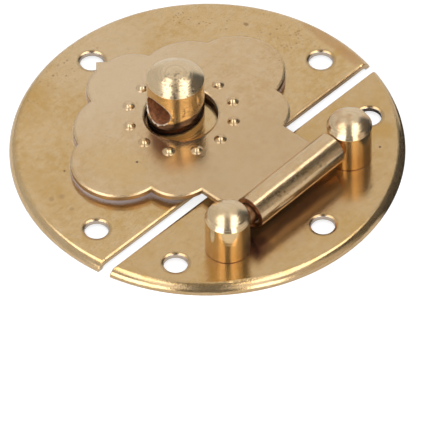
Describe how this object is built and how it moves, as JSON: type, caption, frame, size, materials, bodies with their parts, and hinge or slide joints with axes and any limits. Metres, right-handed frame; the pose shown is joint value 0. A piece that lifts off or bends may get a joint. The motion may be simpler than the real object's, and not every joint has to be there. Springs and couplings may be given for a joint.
{
  "type": "box hasp",
  "caption": "Round face-plate hasp for a box: a split disc whose hinged scalloped tongue drops over a cross-drilled staple post.",
  "frame": {"origin": "centre of the whole disc, on the surface that the rims of both plates stand on", "axes": "+X along the hinge pin and the staple's cross hole, +Y from the hinge towards the staple, +Z out of the face"},
  "size_m": [0.05, 0.05, 0.0102],
  "materials": {
    "plate_brass": "satin, lightly brushed, slightly tarnished",
    "tongue_brass": "satin, lightly brushed",
    "polished_brass": "turned and polished",
    "pin_brass": "drawn rod, dull"
  },
  "bodies": {
    "plates": {"staple_plate": "plate_brass", "staple_post": "polished_brass", "hinge_plate": "plate_brass", "hinge_post_left": "polished_brass", "hinge_post_right": "polished_brass", "hinge_pin": "pin_brass"},
    "tongue": {"tongue": "tongue_brass"}
  },
  "joints": [
    {"name": "tongue_hinge", "type": "hinge", "parent": "plates", "child": "tongue", "pos_m": [0, -0.01427, 0.00455], "axis": [1, 0, 0], "range_deg": [0, 188]}
  ]
}
